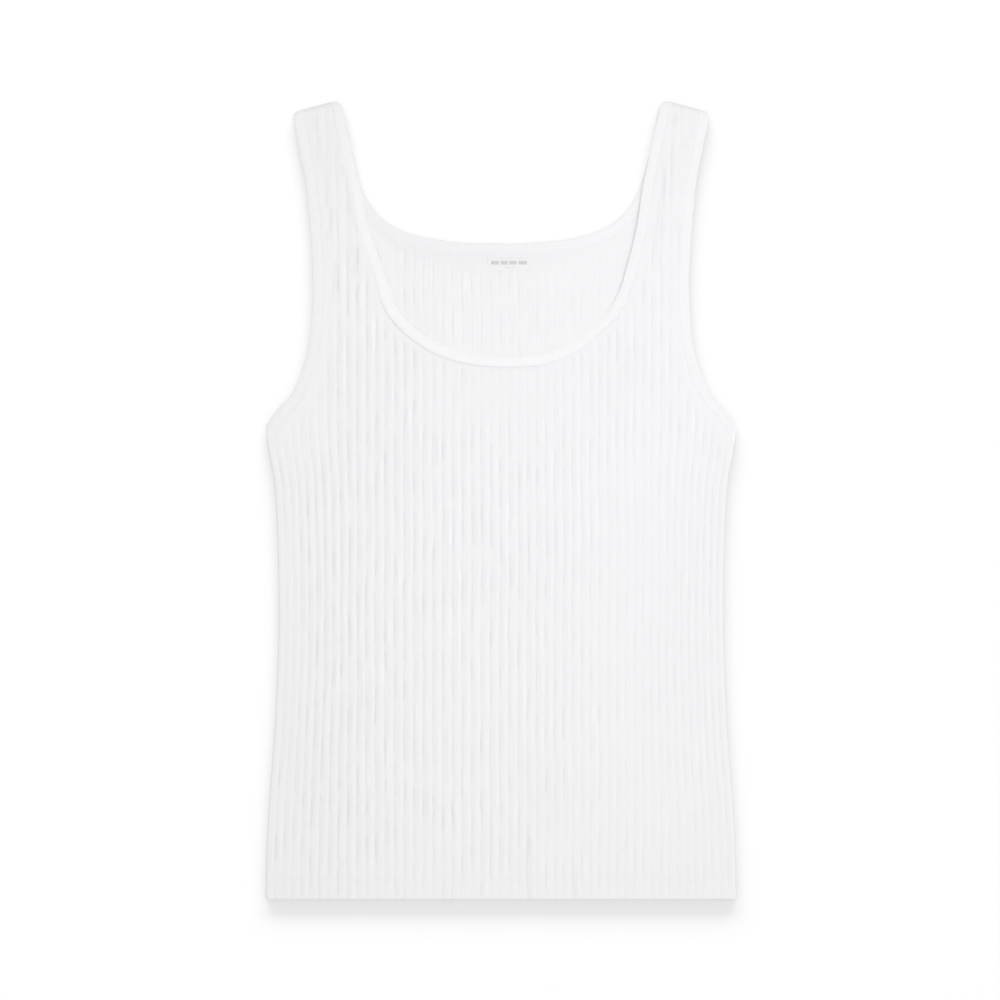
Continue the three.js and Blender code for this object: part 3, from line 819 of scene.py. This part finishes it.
def armhole_binding(name, side, seed):
    """The ring round an armhole, and its length."""
    edge, seam = (trimmed(line, inside_folds) for line in (ARMHOLE, ARMHOLE_SEAM))
    parts = [
        layer_stations(edge, seam, True, ARM_CORNER),
        fold_stations(edge[-1], seam[-1], np.array([1.0, 0.0]), True, ARM_CORNER),
        layer_stations(edge[::-1], seam[::-1], False, ARM_CORNER),
        fold_stations(edge[0], seam[0], over_shoulder(1), False, ARM_CORNER),
    ]
    turn = np.array([side, 1, 1])
    parts = [tuple(part * turn for part in group) for group in parts]
    flat = np.zeros(sum(len(part[0]) for part in parts))
    # An even painted shade over the whole band
    return binding(name, parts, flat, flat, flat + 0.4, seed)


# Stitches


STITCH_PITCH = 3.0
STITCH_HEIGHT = 0.3
STITCH_SIZE = (2.1, 0.42, STITCH_HEIGHT)
STITCH_SINK = 0.14  # how deep a stitch lies in the cloth
READING_START = 20.0  # distance from which a surface is read
ROW_IN_BAND = 2.1  # how far inside a binding its row of stitches runs
ROW_END = 1.0  # how far before its folds a binding's row ends
HEM_ROW_INSET = 4.0  # how far inside the sides a hem row ends


def stitch_row(bm, line, heights):
    """Adds a row of small rounded stitches along a line, lying at the given z."""
    run = along(line)
    count = max(int(run[-1] / STITCH_PITCH), 1)
    ahead = headings(line)
    half = [side / 2 * MM for side in STITCH_SIZE]
    for at in (np.arange(count) + 0.5) * run[-1] / count:
        x, h = (np.interp(at, run, line[:, k]) for k in range(2))
        dx, dh = (np.interp(at, run, ahead[:, k]) for k in range(2))
        z = np.interp(at, run, heights)
        turn = Matrix.Rotation(math.atan2(dh, dx), 4, "Z")
        size = Matrix.Diagonal((*half, 1))
        spot = Matrix.Translation(Vector(place_in_metres(x, h, z).tolist()))
        bmesh.ops.create_uvsphere(bm, u_segments=6, v_segments=4, radius=1, matrix=spot @ turn @ size)


def surface_reader(obj, from_above):
    """Reads an object's finished surface under a line of points."""
    depsgraph = bpy.context.evaluated_depsgraph_get()
    depsgraph.update()
    shown = obj.evaluated_get(depsgraph)
    way = Vector((0, 0, -1 if from_above else 1))

    def read(line, z_from):
        heights = []
        last = None
        for x, h in line:
            start = Vector(place_in_metres(x, h, z_from).tolist())
            hit, where, _, _ = shown.ray_cast(start, way)
            if hit:
                last = where.z / MM
            heights.append(last)
        known = next((z for z in heights if z is not None), 0)
        return np.array([known if z is None else z for z in heights])

    return read


def band_line(seam, inside):
    """The line of stitches on a binding, just beyond its seam."""
    return trimmed(moved_right(seam, -ROW_IN_BAND), inside, ROW_END)


def stitched(piece, from_above, lines, name):
    """Rows of stitches laid along lines on the upper or the lower face of a piece."""
    read = surface_reader(piece, from_above)
    way = 1 if from_above else -1
    bm = bmesh.new()
    for line in lines:
        line = evenly(line, max(int(along(line)[-1] / 1.5), 2))
        heights = read(line, READING_START * way) + (STITCH_HEIGHT / 2 - STITCH_SINK) * way
        if not from_above:
            heights = np.maximum(heights, STITCH_HEIGHT / 2)
        stitch_row(bm, line, heights)
    return object_from(bm, name)


def hem_line(height):
    """The line of a row of stitches across the hem."""
    half = float(cloth_half(height)) - HEM_ROW_INSET
    return np.array([(-half, height), (half, height)])


# Materials


def maths(operation, reflected=False):
    """An operator of a reading, or its reflected form."""

    def work(self, other=0.0):
        first, second = (other, self) if reflected else (self, other)
        return self.finish.add("ShaderNodeMath", {"operation": operation}, {0: first, 1: second})

    return work


class Reading:
    """A value in a material. Sums of such values are written as plain expressions."""

    def __init__(self, finish, socket):
        self.finish = finish
        self.socket = socket

    __add__ = maths("ADD")
    __radd__ = maths("ADD", True)
    __sub__ = maths("SUBTRACT")
    __rsub__ = maths("SUBTRACT", True)
    __mul__ = maths("MULTIPLY")
    __rmul__ = maths("MULTIPLY", True)
    __truediv__ = maths("DIVIDE")
    __rtruediv__ = maths("DIVIDE", True)
    __abs__ = maths("ABSOLUTE")
    fract = maths("FRACT")
    cosine = maths("COSINE")
    less = maths("LESS_THAN")
    at_most = maths("MINIMUM")
    at_least = maths("MAXIMUM")


# Numbers of a node's sockets
OBJECT_PLACE = 3
ATTRIBUTE_VALUE = 2
MIX_FIRST = 6
MIX_SECOND = 7
MIX_COLOUR = 2


class Finish:
    """A material, and the one way in which its nodes are added: type, settings, then sockets."""

    def __init__(self, name):
        self.material = bpy.data.materials.new(name)
        self.material.use_nodes = True
        self.tree = self.material.node_tree
        self.tree.nodes.clear()

    def add(self, kind, settings=None, sockets=None, output=0):
        node = self.tree.nodes.new(kind)
        for key, value in (settings or {}).items():
            setattr(node, key, value)
        for key, value in (sockets or {}).items():
            if isinstance(value, Reading):
                self.tree.links.new(value.socket, node.inputs[key])
            else:
                node.inputs[key].default_value = value
        return Reading(self, node.outputs[output]) if node.outputs else None

    def parts(self, vector):
        """The X, Y and Z of a vector."""
        first = self.add("ShaderNodeSeparateXYZ", None, {0: vector})
        return [Reading(self, out) for out in first.socket.node.outputs]

    def noise(self, vector, scale, detail=2.0):
        sockets = {"Vector": vector, "Scale": scale, "Detail": detail, "Roughness": 0.5}
        return self.add("ShaderNodeTexNoise", None, sockets)

    def mix(self, factor, first, second):
        sockets = {0: factor, MIX_FIRST: first, MIX_SECOND: second}
        return self.add("ShaderNodeMix", {"data_type": "RGBA"}, sockets, output=MIX_COLOUR)

    def place(self):
        """The place on the object, in its own metres."""
        return self.add("ShaderNodeTexCoord", output=OBJECT_PLACE)

    def attribute(self, name):
        """A value that the piece keeps at its vertices."""
        return self.add("ShaderNodeAttribute", {"attribute_name": name}, output=ATTRIBUTE_VALUE)

    def bump(self, strength, depth, height):
        sockets = {"Strength": strength, "Distance": depth * MM, "Height": height}
        return self.add("ShaderNodeBump", None, sockets)

    def finish(self, sockets):
        shader = self.add("ShaderNodeBsdfPrincipled", None, sockets)
        self.add("ShaderNodeOutputMaterial", None, {"Surface": shader})
        return self.material


CLOTH = (0.7595, 0.761, 0.7555, 1)
CLOTH_SHADE = (0.7325, 0.734, 0.7285, 1)
PAINTED_RIB_HIGHLIGHT = (0.84, 0.841, 0.836, 1)
BAND = (0.790, 0.7915, 0.786, 1)
BAND_SHADE = (0.765, 0.7665, 0.761, 1)
PAINTED_GROOVE_SHADE = (0.63, 0.63, 0.635, 1)
PAINTED_SHADE_TONE = (0.58, 0.58, 0.585, 1)
SATIN = (0.728, 0.727, 0.715, 1)
SATIN_SHADE = (0.716, 0.715, 0.703, 1)
DASH_SHADE = (0.3, 0.3, 0.31, 1)
THREAD = (0.75, 0.75, 0.755, 1)
THREAD_SHADE = (0.72, 0.72, 0.725, 1)
FLOOR = (0.503, 0.503, 0.503, 1)
FLOOR_SHADE = (0.498, 0.498, 0.498, 1)
FLOOR_GLOW = (0.31, 0.31, 0.31, 1)
GROOVE_HALF = 0.18  # half the width of a groove's shade, as a share of a rib
STREAK_SCALE = (300.0, 26.0, 26.0)  # how fine the streaks in the ribs are, across and along


def knit_height(u, v):
    """The height of plain knitting: two legs to a wale that lean together, once in each course."""
    across = abs(u.fract() - 0.5)
    legs = 1 - abs(across * 4 - 1)
    loops = ((v + across * 1.2) * (2 * math.pi)).cosine() * 0.5 + 0.5
    return legs * (loops * 0.55 + 0.45)


def knit_finish(name, ribbed):
    """White knit. Where it is ribbed, shade is painted into the grooves and highlights as bright streaks,
    and shade is painted where the piece's vertices ask for it.
    """
    finish = Finish(name)
    u, v, _ = finish.parts(finish.add("ShaderNodeUVMap", {"uv_map": "knit"}))
    place = finish.place()
    height = knit_height(u, v)
    patches = finish.noise(place, 9.0)
    yarn = finish.noise(place, 420.0, 3.0)
    light, dark = (CLOTH, CLOTH_SHADE) if ribbed else (BAND, BAND_SHADE)
    tone = finish.mix((patches * 1.6 - 0.3).at_most(1.0) * 0.5 + yarn * 0.3, light, dark)
    if ribbed:
        depth = finish.attribute("rib_depth")
        from_groove = abs((u / WALES_PER_RIB + 0.5).fract() - 0.5)
        sockets = {0: from_groove, 1: GROOVE_HALF, 2: 0.0, 3: 0.0, 4: 1.0}
        groove = finish.add("ShaderNodeMapRange", {"interpolation_type": "SMOOTHSTEP"}, sockets)
        sockets = {0: place, 1: STREAK_SCALE}
        drawn = finish.add("ShaderNodeVectorMath", {"operation": "MULTIPLY"}, sockets)
        streaks = finish.noise(drawn, 1.0)
        # Painted shade in the ribs' grooves, deeper where the ribs are deep and broken up by the streaks
        tone = finish.mix(groove * depth * (streaks * 1.4 - 0.3), tone, PAINTED_GROOVE_SHADE)
        # Painted highlights: short bright streaks where the ribs are deep
        tone = finish.mix((streaks * 3.0 - 1.7).at_least(0.0) * depth * 0.65, tone, PAINTED_RIB_HIGHLIGHT)
    # Painted shade, as much as the piece keeps at its vertices: at strap ends, in narrow folds, on the back
    # near the neck and on the bindings
    painted_shade_mask = finish.attribute("painted_shade")
    tone = finish.mix(painted_shade_mask * (yarn * 0.4 + 0.12), tone, PAINTED_SHADE_TONE)
    relief = height * 0.8 + yarn * 0.35
    if ribbed:
        relief = relief + streaks * depth * 1.6
    bump = finish.bump(0.5, 0.28, relief)
    return finish.finish(
        {
            "Base Color": tone,
            "Roughness": yarn * 0.1 + 0.84,
            "Normal": bump,
            "Specular IOR Level": 0.25,
            "Sheen Weight": 0.12,
            "Sheen Roughness": 0.5,
        }
    )


def thread_finish():
    """Twisted white thread."""
    finish = Finish("sewing_thread")
    ply = finish.noise(finish.place(), 900.0)
    bump = finish.bump(0.4, 0.1, ply)
    tone = finish.mix(ply, THREAD, THREAD_SHADE)
    return finish.finish({"Base Color": tone, "Roughness": ply * 0.1 + 0.5, "Normal": bump})


# Generic dashes where words would be: start and end of each across the label, from its middle
LABEL_DASHES = [(-14.8, -8.6), (-7.4, -1.6), (-0.6, 5.2), (6.4, 13.2)]
LABEL_SMALL_DASHES = [(-4.2, 4.2)]


def label_finish():
    """Woven satin with a fine twill, and woven dashes in a row."""
    finish = Finish("label_satin")
    x, y, _ = finish.parts(finish.place())
    x = x / MM - LABEL["x"]
    y = y / MM - (LABEL["bottom"] - LENGTH / 2)
    weave = ((x * 3.2 + y * 3.2).fract() - 0.5).less(0.0)
    dash = x * 0
    for dashes, low, high, strength in ((LABEL_DASHES, 5.9, 8.9, 1.0), (LABEL_SMALL_DASHES, 3.0, 4.2, 0.25)):
        level = (0.0 - y).less(-low) * y.less(high)
        for start, end in dashes:
            dash = dash + (0.0 - x).less(-start) * x.less(end) * level * strength
    ticks = ((x * 1.15).fract() - 0.5).less(0.32)
    ink = dash * ticks
    tone = finish.mix(weave * 0.5, SATIN, SATIN_SHADE)
    tone = finish.mix(ink * 0.55, tone, DASH_SHADE)
    bump = finish.bump(0.3, 0.08, weave + ink * 0.6)
    return finish.finish(
        {"Base Color": tone, "Roughness": 0.7 - ink * 0.1, "Normal": bump, "Specular IOR Level": 0.25}
    )


def floor_finish():
    """A pale floor that glows a little, which keeps the shadows on it soft."""
    finish = Finish("pale_floor")
    haze = finish.noise(finish.place(), 3.0)
    tone = finish.mix(haze, FLOOR, FLOOR_SHADE)
    glow = {"Emission Color": FLOOR_GLOW, "Emission Strength": 1.0}
    return finish.finish({"Base Color": tone, "Roughness": 0.9, "Specular IOR Level": 0.1, **glow})


# The label


def label_piece(read):
    """The label: a thin plate with soft corners that lies on the crests of the cloth under it."""
    across, rows = 36, 12
    places = LABEL["x"] + LABEL["width"] * np.linspace(-0.5, 0.5, across + 1)
    levels = LABEL["bottom"] + LABEL["height"] * np.array([0.1, 0.5, 0.9])
    crest = np.array([read([(at, level) for level in levels], READING_START).max() for at in places])
    crest = np.array([crest[max(i - 4, 0) : i + 5].max() for i in range(len(crest))])
    crest = np.convolve(np.pad(crest, 3, mode="edge"), np.full(7, 1 / 7), "valid")
    bm, column, row = grid_of(across, rows)
    u, v = column / across * 2 - 1, row / rows * 2 - 1
    corner = 1 - 0.016 * np.clip(np.abs(u * v), 0, 1) ** 12
    x = LABEL["x"] + LABEL["width"] / 2 * u * corner
    h = LABEL["bottom"] + LABEL["height"] * (0.5 + 0.5 * v * corner)
    z = crest[column] + 0.06 - 0.22 * np.maximum(np.abs(u), np.abs(v)) ** 12
    world = place_in_metres(x, h, z)
    write_map(bm, x, h)
    for i, vert in enumerate(bm.verts):
        vert.co = world[i]
    obj = object_from(bm, "label_cloth")
    thicken(obj, LABEL["thickness"])
    return obj


# Building the pieces

front = panel("front_cloth", True, FRONT_NECK_SEAM, FRONT_CREASES, FRONT_RIBS, PANEL_SEED)
back = panel("back_cloth", False, BACK_NECK_SEAM, BACK_CREASES, BACK_RIBS, PANEL_SEED + 40)
neck, neck_length = neck_binding()
arm_right, arm_length = armhole_binding("armhole_band_right", 1, 41)
arm_left, _ = armhole_binding("armhole_band_left", -1, 51)
label = label_piece(surface_reader(back, True))

hem_lines = [hem_line(height) for height in HEM_STITCHES]
threads = [
    stitched(front, True, hem_lines, "hem_stitches_front"),
    stitched(back, False, hem_lines, "hem_stitches_back"),
    stitched(neck, True, [band_line(FRONT_NECK_SEAM, under_shoulder)], "neck_stitches_front"),
    stitched(neck, False, [band_line(BACK_NECK_SEAM, under_shoulder)], "neck_stitches_back"),
]
for arm, side, turn in ((arm_right, "right", 1), (arm_left, "left", -1)):
    line = band_line(ARMHOLE_SEAM, inside_folds) * (turn, 1)
    threads.append(stitched(arm, True, [line], f"armhole_stitches_{side}_front"))
    threads.append(stitched(arm, False, [line], f"armhole_stitches_{side}_back"))

garment = [front, back, neck, arm_right, arm_left, label, *threads]

rib_knit = knit_finish("rib_knit_cloth", True)
plain_knit = knit_finish("plain_knit_cloth", False)
thread = thread_finish()
for obj, material in (
    (front, rib_knit),
    (back, rib_knit),
    *[(obj, plain_knit) for obj in (neck, arm_right, arm_left)],
    (label, label_finish()),
    *[(obj, thread) for obj in threads],
):
    obj.data.materials.append(material)
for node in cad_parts.values():
    node.data.materials.clear()
    node.data.materials.append(plain_knit)

# What each piece rides with, and the solids that are hidden

for obj in garment:
    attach(obj, "root")
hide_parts("front_panel")
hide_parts("back_panel")
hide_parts("neck_binding")
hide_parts("armhole_binding_right")
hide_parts("armhole_binding_left")
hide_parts("neck_label")

# Floor, light and camera

floor_bm, _, _ = grid_of(2, 2)
bmesh.ops.scale(floor_bm, vec=(8, 8, 1), verts=floor_bm.verts)
floor = object_from(floor_bm, "floor")
floor.data.materials.append(floor_finish())
floor.data.transform(Matrix.Translation((0, 0, -0.0001)))


def soft_light(name, place, size, power, lit, height=None, colour=(1, 1, 1)):
    """A soft rectangular light that faces the garment and lights only the things named."""
    data = bpy.data.lights.new(name, "AREA")
    data.shape = "RECTANGLE"
    data.size = size
    data.size_y = height or size
    data.energy = power
    data.color = colour
    obj = bpy.data.objects.new(name, data)
    bpy.context.scene.collection.objects.link(obj)
    obj.location = place
    obj.rotation_euler = (-Vector(place)).to_track_quat("-Z", "Y").to_euler()
    receivers = bpy.data.collections.new(name + "_lights")
    for thing in lit:
        receivers.objects.link(thing)
    obj.light_linking.receiver_collection = receivers


soft_light("light_right", (1.75, 0.3, 1.4), 0.8, 5.0, garment)
soft_light("light_above", (0.22, 0.09, 0.85), 0.4, 1.88, garment, colour=(0.90, 0.868, 1.0))
soft_light("light_low", (-0.5, 16.0, 3.9), 24.0, 5900.0, [floor], height=3.6)

world = bpy.data.worlds.new("room")
bpy.context.scene.world = world
world.use_nodes = True
sky = world.node_tree.nodes["Background"]
sky.inputs["Color"].default_value = (1.0, 1.0, 1.0, 1)
sky.inputs["Strength"].default_value = 1.0

camera_data = bpy.data.cameras.new("camera")
camera_data.lens = 85
camera_data.sensor_width = 36
camera_data.clip_end = 50
camera = bpy.data.objects.new("camera", camera_data)
bpy.context.scene.collection.objects.link(camera)
camera.location = (-0.0008, 0.0, 1.8445)
camera.rotation_euler = (0, 0, 0)
bpy.context.scene.camera = camera
bpy.context.scene.view_settings.view_transform = "Standard"
